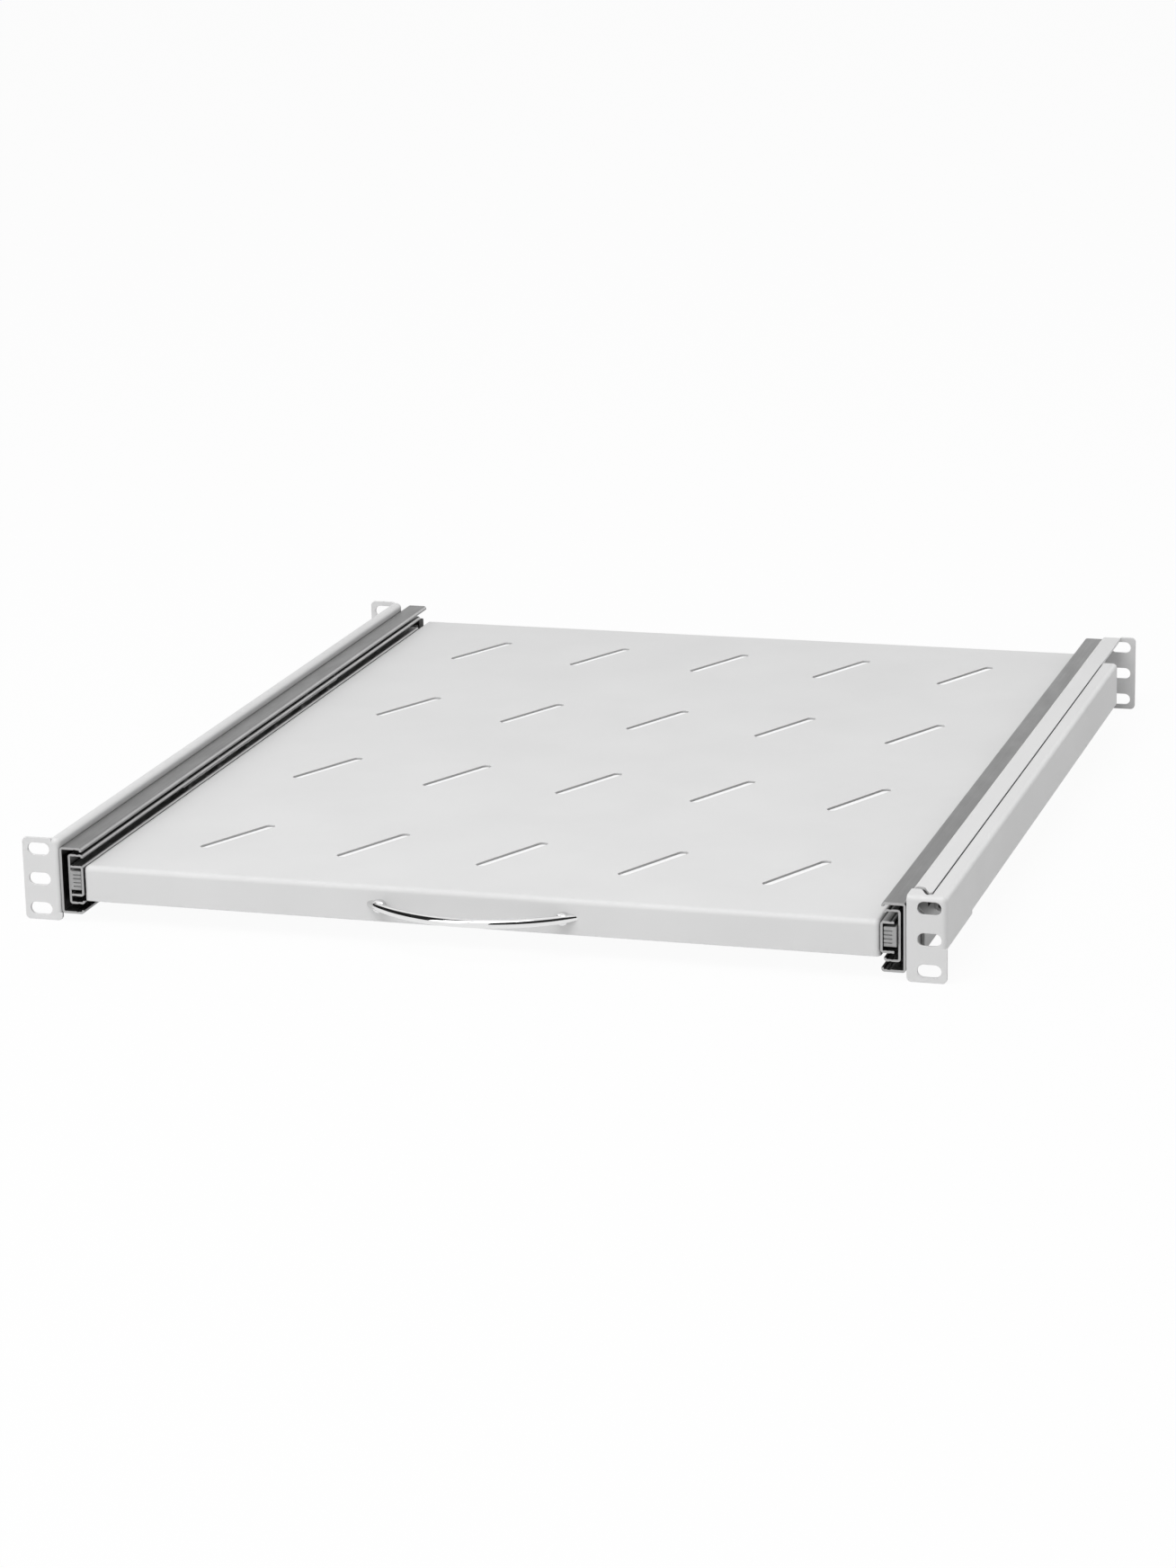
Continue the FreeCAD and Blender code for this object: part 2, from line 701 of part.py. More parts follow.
def vent_cutters():
    """Slanting slots in straight rows over the tray."""
    cutters = []
    height = 4 * tray_gauge
    for row in range(vent_rows):
        for column in range(vent_columns):
            cutter = obround(vent_length, vent_width, height, vec(0, 0, -height / 2))
            cutter.rotate(vec(0, 0, 0), vec(0, 0, 1), 90 - vent_lean)
            x = (column - (vent_columns - 1) / 2) * vent_column_pitch
            y = (row + 0.5) * tray_depth / vent_rows
            cutter.translate(vec(x, y, tray_top))
            cutters.append(cutter)
    return cutters


def rounded_pan(inset, bottom, radius):
    """Block of the tray's outline set in by a wall, with its upper and upright edges rounded."""
    half = tray_half - inset
    pan = block((-half, half), (inset, tray_depth - inset), (bottom, tray_top - inset))
    edges = [edge for edge in pan.Edges if edge.CenterOfMass.z > bottom + 1e-6]
    return pan.makeFillet(radius, edges)


def tray():
    """Tray of one sheet: a vented top with a lip on each side, round at the corners, lower behind."""
    outside = rounded_pan(0, tray_bottom, tray_bend + tray_gauge)
    folded = outside.cut(rounded_pan(tray_gauge, tray_bottom - tray_gauge, tray_bend))
    cutters = vent_cutters()
    straight = tray_half - tray_gauge - tray_bend
    below_rear_lip = (tray_bottom - tray_gauge, tray_top - tray_rear_lip_height)
    rear_wall = (tray_depth - 2 * tray_gauge, tray_depth + tray_gauge)
    cutters.append(block((-straight, straight), rear_wall, below_rear_lip))
    for x in (-handle_hole_spacing / 2, handle_hole_spacing / 2):
        cutters.append(rod_y(screw_hole_radius, (-tray_gauge, 2 * tray_gauge), x, handle_z))
    for y in tray_screw_places:
        for end in (-1, 1):
            wall = (end * (tray_half - 2 * tray_gauge), end * (tray_half + tray_gauge))
            cutters.append(rod_x(tray_screw_hole_radius, wall, y, 0))
    return folded.cut(cutters)


def handle_curve():
    """Radius of the bow's middle line and the depth of its centre."""
    rise = handle_reach - handle_bar_diameter / 2
    half_span = (handle_span - handle_bar_diameter) / 2
    radius = (half_span ** 2 + rise ** 2) / (2 * rise)
    return radius, radius - rise


def handle():
    """Bow handle of round bar, cut flat where it meets the lip, with a tapped boss at each end."""
    radius, centre_y = handle_curve()
    ring = Part.makeTorus(radius, handle_bar_diameter / 2, vec(0, centre_y, handle_z))
    z_range = (handle_z - handle_bar_diameter, handle_z + handle_bar_diameter)
    bar = ring.common(block((-handle_span, handle_span), (-2 * handle_reach, 0), z_range))
    bosses = []
    bores = []
    bore_range = (-handle_thread_depth, handle_thread_depth)
    for x in (-handle_hole_spacing / 2, handle_hole_spacing / 2):
        bar_y = centre_y - math.sqrt(radius ** 2 - x ** 2)
        bosses.append(rod_y(handle_boss_diameter / 2, (bar_y, 0), x, handle_z))
        bores.append(rod_y(screw_radius + ball_play, bore_range, x, handle_z))
    return bar.fuse(bosses).cut(bores)


def handle_screws():
    """Screws from behind the lip into the handle."""
    screws = []
    for x in (-handle_hole_spacing / 2, handle_hole_spacing / 2):
        seat = vec(x, tray_gauge, handle_z)
        tip = vec(x, screw_tip - handle_thread_depth, handle_z)
        screws.append(pan_screw(seat + vec(0, pan_head_height, 0), seat, tip, screw_radius))
    return Part.makeCompound(screws)


def boxed_bracket_pieces():
    """Brackets of the right-hand rail and their fasteners by name; the last nut is on the rear web."""
    return {
        "front_bracket": boxed_front_bracket(),
        "rear_bracket": boxed_rear_bracket(),
        "slide_screws": slide_screws(lip_x),
        "slide_nuts": slide_nuts(lip_x),
    }


def flat_bracket_pieces():
    """Brackets of the left-hand rail and their fasteners by name, before they are mirrored."""
    return {
        "front_bracket": flat_front_bracket(),
        "rear_bracket": flat_rear_bracket(),
        "slide_screws": slide_screws(nut_x),
        "slide_nuts": slide_nuts(nut_x),
    }


def slide_pieces():
    """Pieces that both rails share by name."""
    return {
        "slide_outer_member": slide_outer_member(),
        "slide_rear_bumper": slide_rear_bumper(),
        "slide_intermediate_member": slide_intermediate_member(),
        "intermediate_bumper": intermediate_bumper(),
        "outer_ball_cage": outer_ball_cage(),
        "outer_balls": ball_rows(
            outer_ball_radius, outer_ball_x, outer_ball_z, outer_cage_front, outer_cage_length
        ),
        "inner_ball_cage": inner_ball_cage(),
        "inner_balls": ball_rows(
            inner_ball_radius, inner_ball_x, inner_ball_z, inner_cage_front, inner_cage_length
        ),
        "slide_inner_member": slide_inner_member(),
        "tray_side_screws": tray_side_screws(),
        "release_lever": release_lever(),
        "lever_pin": lever_pin(),
    }


def main():
    os.makedirs("parts", exist_ok=True)
    slide = slide_pieces()
    for name, shape in {**slide, **boxed_bracket_pieces()}.items():
        shape.exportStep("parts/right_" + name + ".step")
    for name, shape in {**slide, **flat_bracket_pieces()}.items():
        shape.mirror(vec(0, 0, 0), vec(1, 0, 0)).exportStep("parts/left_" + name + ".step")
    tray().exportStep("parts/tray.step")
    handle().exportStep("parts/handle.step")
    handle_screws().exportStep("parts/handle_screws.step")


main()
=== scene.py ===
"""Finishes, fine hardware and a plain studio for a pull-out rack shelf.

Settings are kept in property groups, each group of like pieces has an operator, and a panel lists them.
"""

import json
import math

import bmesh
import bpy
from bpy.props import FloatProperty, FloatVectorProperty, IntProperty, PointerProperty
from mathutils import Matrix, Vector


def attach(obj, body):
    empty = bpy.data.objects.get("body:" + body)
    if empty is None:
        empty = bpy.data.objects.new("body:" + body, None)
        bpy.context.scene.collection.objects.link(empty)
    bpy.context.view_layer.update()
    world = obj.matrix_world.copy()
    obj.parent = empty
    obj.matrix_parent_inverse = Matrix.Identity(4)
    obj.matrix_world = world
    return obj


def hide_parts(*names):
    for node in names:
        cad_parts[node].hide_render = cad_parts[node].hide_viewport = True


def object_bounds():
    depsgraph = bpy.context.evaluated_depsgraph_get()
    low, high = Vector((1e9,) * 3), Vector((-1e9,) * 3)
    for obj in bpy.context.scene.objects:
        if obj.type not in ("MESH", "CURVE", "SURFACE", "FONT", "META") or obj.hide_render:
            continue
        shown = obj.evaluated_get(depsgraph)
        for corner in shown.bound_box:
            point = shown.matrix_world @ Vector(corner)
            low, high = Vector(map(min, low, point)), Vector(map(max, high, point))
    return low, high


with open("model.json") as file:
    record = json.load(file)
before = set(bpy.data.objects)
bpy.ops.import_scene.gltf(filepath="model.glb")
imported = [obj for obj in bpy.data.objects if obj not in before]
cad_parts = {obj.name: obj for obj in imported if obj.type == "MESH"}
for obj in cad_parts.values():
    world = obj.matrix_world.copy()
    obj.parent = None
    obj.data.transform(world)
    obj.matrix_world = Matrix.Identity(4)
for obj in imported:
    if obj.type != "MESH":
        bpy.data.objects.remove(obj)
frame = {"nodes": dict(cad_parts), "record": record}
CAD_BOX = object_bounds()

bl_info = {
    "name": "Rack Shelf Finisher",
    "version": (1, 0, 0),
    "blender": (4, 5, 0),
    "location": "View3D > Sidebar > Rack Shelf",
    "description": "Finishes, screws, nuts and a plain studio for a pull-out rack shelf",
    "category": "Object",
}

SIDES = ("left", "right")
MM = 0.001


def slot_colour(slot):
    """Base colour that the record gives to a material slot."""
    for entry in frame["record"]["materials"]:
        if entry["slot"] == slot:
            return tuple(entry["base_color"])
    raise ValueError("the record has no material slot named " + slot)


def length(name, description, default):
    """Property for a length in metres."""
    return FloatProperty(name=name, description=description, default=default, precision=5, unit="LENGTH")


def degrees(name, description, default):
    """Property for an angle that is given in degrees."""
    return FloatProperty(name=name, description=description, default=math.radians(default), unit="ROTATION")


def arc(name, description, default):
    """Property for the two ends of an arc that are given in degrees."""
    ends = [math.radians(end) for end in default]
    return FloatVectorProperty(name=name, description=description, default=ends, size=2, unit="ROTATION")


def share(name, description, default):
    """Property for a share from 0 to 1."""
    return FloatProperty(name=name, description=description, default=default, min=0, max=1, subtype="FACTOR")


def tint(name, description, default):
    """Property for a colour."""
    return FloatVectorProperty(
        name=name, description=description, default=default, min=0, max=1, subtype="COLOR")


def watts(name, description, default):
    """Property for a light's power."""
    return FloatProperty(name=name, description=description, default=default, min=0, unit="POWER")


def position(name, description, default):
    """Property for a place in metres."""
    return FloatVectorProperty(
        name=name, description=description, default=default, subtype="XYZ", unit="LENGTH")


def group(name, description, kind):
    """Property that holds a group of settings."""
    return PointerProperty(name=name, description=description, type=kind)


class SheetPaintSettings(bpy.types.PropertyGroup):
    """Powder coat of the tray and the brackets."""

    colour: tint("Colour", "Colour of the powder coat", slot_colour("light_grey_paint"))
    variation: share("Variation", "How far the coat's tone drifts over the sheet", 0.02)
    drift_size: length("Drift size", "Width of one cloud of the coat's tone", 60 * MM)
    roughness: share("Roughness", "Gloss of the coat, 0 is a mirror", 0.5)
    speckle_size: length("Speckle size", "Width of one speckle of the coat's gloss", 0.44 * MM)
    specular: share("Specular", "Strength of the coat's own reflection", 0.4)
    peel_size: length("Peel size", "Width of one dimple of the coat's orange peel", 1.1 * MM)
    peel_height: length("Peel height", "Height of the orange peel", 0.012 * MM)
    edge_round: length("Edge round", "Radius of the coat over a cut edge", 0.4 * MM)
    # Painted highlight: the coat is drawn lighter on rounded edges.
    edge_wear: share("Edge wear", "How much lighter the coat is where it thins over an edge", 0.25)
    # Painted shade: ambient occlusion darkens the coat in boxed hollows; these settings give its reach, tone
    # and openness thresholds.
    hollow: length("Hollow", "Width of a boxed hollow that the sprayed powder hardly reaches", 26 * MM)
    hollow_tone: share("Hollow tone", "Tone of the thin coat in such a hollow, 1 is the full coat", 0.25)
    hollow_closed: share("Hollow closed", "Openness at which the coat is thinnest", 0.15)
    hollow_open: share("Hollow open", "Openness at which the coat is full", 0.45)


class PlatingSettings(bpy.types.PropertyGroup):
    """Zinc, bare steel and chrome."""

    zinc: tint("Zinc", "Colour of the plated slide sections", slot_colour("zinc_plated_steel"))
    zinc_roughness: share("Zinc roughness", "Gloss of the rolled and plated sheet", 0.36)
    streak_width: length("Streak width", "Width of one rolling streak", 0.5 * MM)
    streak_height: length("Streak height", "Height of the rolling streaks", 0.004 * MM)
    cloud_size: length("Cloud size", "Width of one cloud in the plating", 8 * MM)
    zinc_tone: share("Zinc tone", "How dull the plating has become, 1 is fresh", 0.72)
    # Painted shade: ambient occlusion darkens the zinc and makes it less metallic in the slide's hollows;
    # these settings give its reach, tone and openness thresholds.
    grease: length("Grease", "Width of the hollows in the slide that hold grease", 7 * MM)
    grease_tone: share("Grease tone", "Tone of greasy zinc, 1 is clean", 0.12)
    grease_closed: share("Grease closed", "Openness at which the grease is thickest", 0.03)
    grease_open: share("Grease open", "Openness at which the zinc is clean", 0.22)
    cut_steel: tint("Cut steel", "Colour of the sheared ends of the slide sections", (0.45, 0.45, 0.45))
    cage: tint("Cage", "Colour of the stamped ball cages", slot_colour("cage_steel"))
    ball: tint("Ball", "Colour of the bearing balls", slot_colour("ball_steel"))
    fastener: tint("Fastener", "Colour of screws, nuts and pins", slot_colour("fastener_zinc"))
    chrome: tint("Chrome", "Colour of the handle's plating", slot_colour("handle_chrome"))
    chrome_roughness: share("Chrome roughness", "Gloss of the handle", 0.04)


class MouldingSettings(bpy.types.PropertyGroup):
    """Plastic levers and rubber bumpers."""

    lever: tint("Lever", "Colour of the release levers", slot_colour("lever_plastic"))
    lever_roughness: share("Lever roughness", "Gloss of the release levers", 0.5)
    rubber: tint("Rubber", "Colour of the bumpers", slot_colour("bumper_rubber"))
    rubber_roughness: share("Rubber roughness", "Gloss of the bumpers", 0.75)
    grain_size: length("Grain size", "Width of one grain of the moulded surface", 0.25 * MM)
    grain_height: length("Grain height", "Height of the moulded grain", 0.01 * MM)


class FastenerSettings(bpy.types.PropertyGroup):
    """Screws and nuts."""

    screw: length("Screw", "Diameter of the slide's and the handle's screws", 4 * MM)
    tray_screw: length("Tray screw", "Diameter of the screws between tray and slide", 3.5 * MM)
    pitch: length("Pitch", "Rise of the thread in one turn", 0.7 * MM)
    thread_depth: length("Thread depth", "Depth of the thread", 0.4 * MM)
    low_head: length("Low head", "Height of the slide screws' heads", 1 * MM)
    pan_head: length("Pan head", "Height of the tray's and the handle's screw heads", 2.2 * MM)
    recess_width: length("Recess width", "Width of the cross recess", 4.2 * MM)
    recess_wing: length("Recess wing", "Thickness of one wing of the cross recess", 1 * MM)
    nut_flats: length("Nut flats", "Width of a nut across its flats", 7 * MM)
    nut_flange: length("Nut flange", "Height of the flange under a nut", 1 * MM)
    sides: IntProperty(name="Sides", description="Facets round a screw", default=36, min=12)


class StudioSettings(bpy.types.PropertyGroup):
    """Camera, floor and light."""

    image_width: IntProperty(
        name="Image width", description="Width of the picture", default=1308, subtype="PIXEL")
    image_height: IntProperty(
        name="Image height", description="Height of the picture", default=1744, subtype="PIXEL")
    focal: FloatProperty(
        name="Focal", description="Focal length in pixels of the picture", default=4775.4, subtype="PIXEL")
    azimuth: degrees("Azimuth", "Turn of the camera to the right of the front", 16.917)
    elevation: degrees("Elevation", "Height of the camera above the horizon", 15.571)
    roll: degrees("Roll", "Turn of the camera about its line of sight", -1.217)
    distance: length("Distance", "From the camera to the point it looks at", 2.35386)
    target: position("Target", "Point in the middle of the picture", (-0.00882, 0.23349, 0))
    sensor: length("Sensor", "Long side of the camera's sensor", 36 * MM)
    floor_size: length("Floor size", "Side of the floor", 30.0)
    floor: tint("Floor", "Colour of the floor", (0.82, 0.82, 0.82))
    shadow: share("Shadow", "How much of the object's shadow the white floor keeps", 0.05)
    sky: share("Sky", "Strength of the light from all round", 0.46)
    key_power: watts("Key power", "Power of the light above the shelf", 43)
    key_place: position("Key place", "Where the light above the shelf stands", (-0.3, -0.9, 2.4))
    fill_power: watts("Fill power", "Power of the light in front on the left", 8)
    fill_place: position("Fill place", "Where the light in front on the left stands", (-1.5, -2.2, 1.0))
    light_size: length("Light size", "Side of each light", 1.8)
    flag_colour: tint("Flag colour", "Colour of the dark cards", (0.012, 0.012, 0.012))
    flag_distance: length("Flag distance", "From the shelf to the foot of the dark cards", 1.5)
    flag_height: length("Flag height", "Height of the dark cards", 2.1)
    left_flag: arc("Left flag", "Ends of the left card, from the front to the right", (-110, -40))
    right_flag: arc("Right flag", "Ends of the right card, from the front to the right", (5, 75))
    left_flag_lean: share("Left flag lean", "Share of the distance at the left card's upper edge", 0.35)
    strip_strength: FloatProperty(
        name="Strip strength", description="Brightness of the white strip", default=2.5, min=0)
    strip: arc("Strip", "Ends of the white strip, from the front to the right", (177, 140))
    strip_distance: length("Strip distance", "From the shelf to the white strip", 4.0)
    strip_height: length("Strip height", "Height of the white strip", 3.0)


class RackShelfSettings(bpy.types.PropertyGroup):
    """All settings of the shelf."""

    paint: group("Paint", "Powder coat of the tray and the brackets", SheetPaintSettings)
    plating: group("Plating", "Zinc, bare steel and chrome", PlatingSettings)
    moulding: group("Moulding", "Plastic levers and rubber bumpers", MouldingSettings)
    fasteners: group("Fasteners", "Screws and nuts", FastenerSettings)
    studio: group("Studio", "Camera, floor and light", StudioSettings)


def scaled(colour, factor):
    """Colour made lighter or darker."""
    return tuple(min(1.0, channel * factor) for channel in colour)


class Finish:
    """Node material in the making, with its patterns laid out in the piece's own space."""

    # Range that holds nearly all the values of a noise
    NOISE_LOW, NOISE_HIGH = 0.3, 0.7
    # Agreement of the rounded and the true normal on an edge and on the flat
    EDGE_TURNED, EDGE_FLAT = 0.85, 0.99
    # Share of the normal along Y on a side and on an end
    END_LOW, END_HIGH = 0.8, 0.95
    # Mix node's sockets for the mask, both colours and the result
    MIX_MASK, MIX_UNDER, MIX_OVER, MIX_RESULT = 0, 6, 7, 2
    EDGE_SAMPLES = 6
    HOLLOW_SAMPLES = 8

    def __init__(self, name):
        self.material = bpy.data.materials.new(name)
        self.material.use_nodes = True
        self.tree = self.material.node_tree
        self.shader = self.tree.nodes["Principled BSDF"]
        self.coordinates = self.add("ShaderNodeTexCoord")

    def set(self, socket, value):
        """Link a socket to another, or give it a value."""
        if isinstance(value, bpy.types.NodeSocket):
            self.tree.links.new(value, socket)
        else:
            socket.default_value = value

    def add(self, kind, inputs=None, **options):
        """Node of one kind with its options and inputs set."""
        node = self.tree.nodes.new(kind)
        for name, value in options.items():
            setattr(node, name, value)
        for name, value in (inputs or {}).items():
            self.set(node.inputs[name], value)
        return node

    def noise(self, size, detail=2.0, stretch=(1, 1, 1)):
        """Noise with grains of one size, drawn out along the stretched axes."""
        scale = [1 / (size * factor) for factor in stretch]
        place = self.coordinates.outputs["Object"]
        mapping = self.add("ShaderNodeMapping", {"Vector": place, "Scale": scale})
        inputs = {"Vector": mapping.outputs["Vector"], "Scale": 1.0, "Detail": detail}
        return self.add("ShaderNodeTexNoise", inputs).outputs[0]

    def span(self, value, first, last, start=NOISE_LOW, end=NOISE_HIGH):
        """Value that goes from first to last while another goes from start to end."""
        inputs = {"Value": value, "From Min": start, "From Max": end, "To Min": first, "To Max": last}
        return self.add("ShaderNodeMapRange", inputs).outputs["Result"]

    def around(self, value, middle, below, above):
        """Value that drifts below and above a middle with a noise."""
        return self.span(value, middle - below, middle + above)

    def tones(self, value, dark, light):
        """Colour that runs from dark to light with a noise."""
        ramp = self.add("ShaderNodeValToRGB", {"Fac": value})
        stops = zip(ramp.color_ramp.elements, (self.NOISE_LOW, self.NOISE_HIGH), (dark, light))
        for element, place, colour in stops:
            element.position = place
            element.color = (*colour, 1)
        return ramp.outputs["Color"]

    def shades(self, value, colour, dark, light):
        """Shades of one colour that run from a dark to a light factor with a noise."""
        return self.tones(value, scaled(colour, dark), scaled(colour, light))

    def cover(self, mask, under, colour, tone=1.0):
        """Colour that gives way to a tone of another where a mask is 1."""
        mix = self.add("ShaderNodeMix", data_type="RGBA")
        self.set(mix.inputs[self.MIX_MASK], mask)
        self.set(mix.inputs[self.MIX_UNDER], under)
        self.set(mix.inputs[self.MIX_OVER], (*scaled(colour, tone), 1))
        return mix.outputs[self.MIX_RESULT]

    def rounded(self, radius):
        """Normal of a surface whose edges are rounded."""
        bevel = self.add("ShaderNodeBevel", {"Radius": radius}, samples=self.EDGE_SAMPLES)
        return bevel.outputs["Normal"]

    def edges(self, normal):
        """Mask that is 1 on a rounded edge and 0 on the flat."""
        true_normal = self.add("ShaderNodeNewGeometry").outputs["Normal"]
        product = self.add("ShaderNodeVectorMath", operation="DOT_PRODUCT")
        self.set(product.inputs[0], normal)
        self.set(product.inputs[1], true_normal)
        return self.span(product.outputs["Value"], 1.0, 0.0, self.EDGE_TURNED, self.EDGE_FLAT)

    def hollows(self, width, closed, opened):
        """Painted-shade mask from ambient occlusion: 1 deep inside hollows of one width and 0 in the open."""
        occlusion = self.add(
            "ShaderNodeAmbientOcclusion", {"Distance": width}, samples=self.HOLLOW_SAMPLES)
        return self.span(occlusion.outputs["AO"], 1.0, 0.0, closed, opened)

    def ends(self):
        """Mask that is 1 on the ends of a piece that lies along Y and 0 on its sides."""
        parts = self.add("ShaderNodeSeparateXYZ", {"Vector": self.coordinates.outputs["Normal"]})
        across = self.add("ShaderNodeMath", operation="ABSOLUTE")
        self.set(across.inputs[0], parts.outputs["Y"])
        return self.span(across.outputs[0], 0.0, 1.0, self.END_LOW, self.END_HIGH)

    def bump(self, value, height, normal=None):
        """Normal of a surface raised by a value."""
        inputs = {"Height": value, "Distance": height, "Strength": 1.0}
        if normal:
            inputs["Normal"] = normal
        return self.add("ShaderNodeBump", inputs).outputs["Normal"]

    def shade(self, **inputs):
        """Set the shader's inputs by name, with underscores for spaces, and return the material."""
        for name, value in inputs.items():
            self.set(self.shader.inputs[name.replace("_", " ")], value)
        return self.material


def powder_coat(settings):
    """Pale powder coat with fine orange peel, with a painted highlight on the cut edges and painted shade in
    boxed hollows.
    """
    finish = Finish("powder_coat")
    colour = tuple(settings.colour)
    drift = finish.noise(settings.drift_size, detail=3.0)
    speckle = finish.noise(settings.speckle_size, detail=1.0)
    peel = finish.noise(settings.peel_size, detail=1.5)
    rounded = finish.rounded(settings.edge_round)
    # Painted shade: mask from ambient occlusion, 1 deep in boxed hollows.
    shade_painted = finish.hollows(settings.hollow, settings.hollow_closed, settings.hollow_open)
    coat = finish.shades(drift, colour, dark=1 - settings.variation, light=1 + settings.variation)
    # Painted highlight: lighter coat on the rounded cut edges.
    coat = finish.cover(finish.edges(rounded), coat, colour, tone=1 + settings.edge_wear)
    # Painted shade: the coat is darkened to a set tone in those hollows.
    coat = finish.cover(shade_painted, coat, colour, tone=settings.hollow_tone)
    return finish.shade(
        Base_Color=coat,
        Roughness=finish.around(speckle, settings.roughness, below=0.05, above=0.07),
        Normal=finish.bump(peel, settings.peel_height, rounded),
        Specular_IOR_Level=settings.specular,
    )


def rolled_zinc(settings):
    """Zinc on rolled sheet: streaks along the section, cloudy plating, painted highlight on edges, painted
    shade in hollows and cut ends.
    """
    finish = Finish("rolled_zinc")
    colour = scaled(settings.zinc, settings.zinc_tone)
    streaks = finish.noise(settings.streak_width, detail=3.0, stretch=(1, 160, 1))
    clouds = finish.noise(settings.cloud_size, detail=4.0, stretch=(1, 3, 1))
    rounded = finish.rounded(radius=0.2 * MM)
    # Painted shade: mask from ambient occlusion, 1 deep in the slide's hollows.
    shaded = finish.hollows(settings.grease, settings.grease_closed, settings.grease_open)
    base = finish.shades(streaks, colour, dark=0.88, light=1.1)
    base = finish.cover(finish.span(clouds, first=0.0, last=0.5), base, colour, tone=0.94)
    # Painted highlight: the zinc is drawn lighter on rounded edges.
    base = finish.cover(finish.edges(rounded), base, colour, tone=1.25)
    # Painted shade: the zinc is darkened to a set tone in those hollows.
    base = finish.cover(shaded, base, colour, tone=settings.grease_tone)
    base = finish.cover(finish.ends(), base, settings.cut_steel)
    return finish.shade(
        Base_Color=base,
        # Painted shade also makes the zinc less metallic in those hollows.
        Metallic=finish.span(shaded, first=1.0, last=0.3, start=0.0, end=1.0),
        Roughness=finish.around(clouds, settings.zinc_roughness, below=0.03, above=0.05),
        Normal=finish.bump(streaks, settings.streak_height, rounded),
    )


def stamped_steel(settings):
    """Thin stamped strip of the ball cages, a little duller than the slide."""
    finish = Finish("stamped_steel")
    grain = finish.noise(size=0.7 * MM, detail=3.0, stretch=(1, 6, 1))
    rounded = finish.rounded(radius=0.1 * MM)
    return finish.shade(
        Base_Color=finish.shades(grain, settings.cage, dark=0.85, light=1.1),
        Metallic=1.0,
        Roughness=finish.span(grain, first=0.3, last=0.46),
        Normal=finish.bump(grain, height=0.003 * MM, normal=rounded),
    )


def bearing_steel(settings):
    """Ground and polished balls with a faint film of oil."""
    finish = Finish("bearing_steel")
    film = finish.noise(size=0.6 * MM, detail=2.0)
    return finish.shade(
        Base_Color=finish.shades(film, settings.ball, dark=0.9, light=1.0),
        Metallic=1.0,
        Roughness=finish.span(film, first=0.05, last=0.13),
    )


def fastener_zinc(settings):
    """Bright zinc of screws, nuts and pins with a slight blue and yellow tarnish."""
    finish = Finish("fastener_zinc")
    red, green, blue = settings.fastener
    cool = (0.96 * red, green, 1.04 * blue)
    warm = (1.03 * red, green, 0.93 * blue)
    tarnish = finish.noise(size=2.5 * MM, detail=3.0)
    scuffs = finish.noise(size=0.3 * MM, detail=3.0)
    rounded = finish.rounded(radius=0.08 * MM)
    return finish.shade(
        Base_Color=finish.tones(tarnish, cool, warm),
        Metallic=1.0,
        Roughness=finish.span(scuffs, first=0.22, last=0.4),
        Normal=finish.bump(scuffs, height=0.002 * MM, normal=rounded),
    )


def polished_chrome(settings):
    """Chrome with the faint buffing lines of a polished bar."""
    finish = Finish("polished_chrome")
    gloss = settings.chrome_roughness
    buffing = finish.noise(size=0.25 * MM, detail=2.0, stretch=(40, 1, 1))
    film = finish.noise(size=6 * MM, detail=2.0)
    return finish.shade(
        Base_Color=finish.shades(film, settings.chrome, dark=0.96, light=1.0),
        Metallic=1.0,
        Roughness=finish.span(film, first=0.6 * gloss, last=1.6 * gloss),
        Normal=finish.bump(buffing, height=0.0003 * MM),
    )


def moulded(name, colour, roughness, settings):
    """Moulded surface with a fine spark-eroded grain."""
    finish = Finish(name)
    grain = finish.noise(settings.grain_size, detail=2.0)
    flow = finish.noise(size=3 * MM, detail=2.0)
    rounded = finish.rounded(radius=0.15 * MM)
    return finish.shade(
        Base_Color=finish.shades(flow, colour, dark=0.9, light=1.1),
        Roughness=finish.around(grain, roughness, below=0.08, above=0.08),
        Normal=finish.bump(grain, settings.grain_height, rounded),
    )


def finish_nodes(material, nodes):
    """Give CAD nodes one material."""
    for node in nodes:
        mesh = frame["nodes"][node].data
        mesh.materials.clear()
        mesh.materials.append(material)


def both_sides(*names):
    """Node names of both rails."""
    return [side + "_" + name for side in SIDES for name in names]


def link_object(name, data):
    """New object in the scene."""
    item = bpy.data.objects.new(name, data)
    bpy.context.scene.collection.objects.link(item)
    return item


def new_piece(name, mesh, material, body, node):
    """Add a mesh object that stands for a CAD node and moves with its body."""
    mesh.materials.append(material)
    piece = link_object(name, mesh)
    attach(piece, body)
    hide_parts(node)


def solid_boxes(node):
    """Lowest and highest corner of each separate solid of a CAD node."""
    weld = 0.001 * MM
    mesh = bmesh.new()
    mesh.from_mesh(frame["nodes"][node].data)
    bmesh.ops.remove_doubles(mesh, verts=mesh.verts, dist=weld)
    waiting = set(mesh.verts)
    boxes = []
    while waiting:
        front = [waiting.pop()]
        solid = []
        while front:
            vertex = front.pop()
            solid.append(vertex.co.copy())
            for edge in vertex.link_edges:
                other = edge.other_vert(vertex)
                if other in waiting:
                    waiting.remove(other)
                    front.append(other)
        low = Vector([min(point[axis] for point in solid) for axis in range(3)])
        high = Vector([max(point[axis] for point in solid) for axis in range(3)])
        boxes.append((low, high))
    mesh.free()
    if not boxes:
        raise ValueError("the node " + node + " holds no solid")
    return sorted(boxes, key=lambda box: tuple(box[0]))


